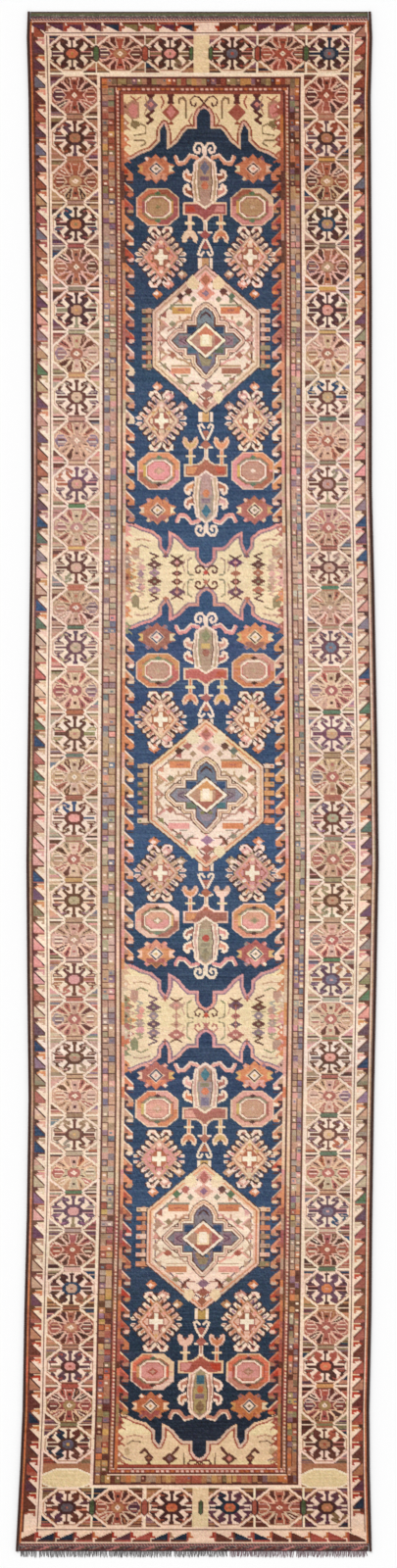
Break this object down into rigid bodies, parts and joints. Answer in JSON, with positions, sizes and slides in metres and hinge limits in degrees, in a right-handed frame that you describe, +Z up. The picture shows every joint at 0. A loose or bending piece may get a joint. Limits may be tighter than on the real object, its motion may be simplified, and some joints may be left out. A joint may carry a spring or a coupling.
{
  "type": "runner rug",
  "caption": "Long narrow hand-knotted wool runner rug with a patterned pile field, bordered on all sides, corded side edges, flat-woven ends and a short fringe.",
  "frame": {"origin": "middle of the rug's footprint, on the surface that it lies on", "axes": "+Y along the rug towards the end without a fringe, +X across it, +Z up out of the pile"},
  "size_m": [0.8592, 3.66, 0.0095],
  "materials": {
    "ground_cotton": "plain-woven cotton warp and weft, with the knots' backs showing",
    "pile_wool": "short cut wool pile in many yarn colours, softly lustrous, slightly worn",
    "edge_wool": "dark brown wool overcast tightly round the edge cord",
    "edge_cord": "bundled undyed cotton cords",
    "apron_wool": "flat-woven wool in dark brown, olive and plum bands",
    "twined_wool": "two-colour twined wool, light and dark stitches in turn",
    "fringe_yarn": "cut warp ends of plied grey yarn, soiled and uneven"
  },
  "bodies": {
    "root": {"foundation_weave": "ground_cotton", "pile_field": "pile_wool", "pile_inner_guard_left": "pile_wool", "pile_inner_guard_right": "pile_wool", "pile_inner_guard_top": "pile_wool", "pile_inner_guard_bottom": "pile_wool", "pile_main_border_left": "pile_wool", "pile_main_border_right": "pile_wool", "pile_main_border_top": "pile_wool", "pile_main_border_bottom": "pile_wool", "pile_outer_guard_left": "pile_wool", "pile_outer_guard_right": "pile_wool", "pile_outer_guard_top": "pile_wool", "pile_outer_guard_bottom": "pile_wool", "side_cord_left": "edge_cord", "side_cord_right": "edge_cord", "overcast_wrap_left": "edge_wool", "overcast_wrap_right": "edge_wool", "kilim_apron_top": "apron_wool", "kilim_apron_bottom": "apron_wool", "twined_row_top": "twined_wool", "twined_row_bottom": "twined_wool", "fringe_run_1": "fringe_yarn", "fringe_run_2": "fringe_yarn", "fringe_run_3": "fringe_yarn", "fringe_run_4": "fringe_yarn", "fringe_run_5": "fringe_yarn", "fringe_run_6": "fringe_yarn"}
  },
  "joints": []
}
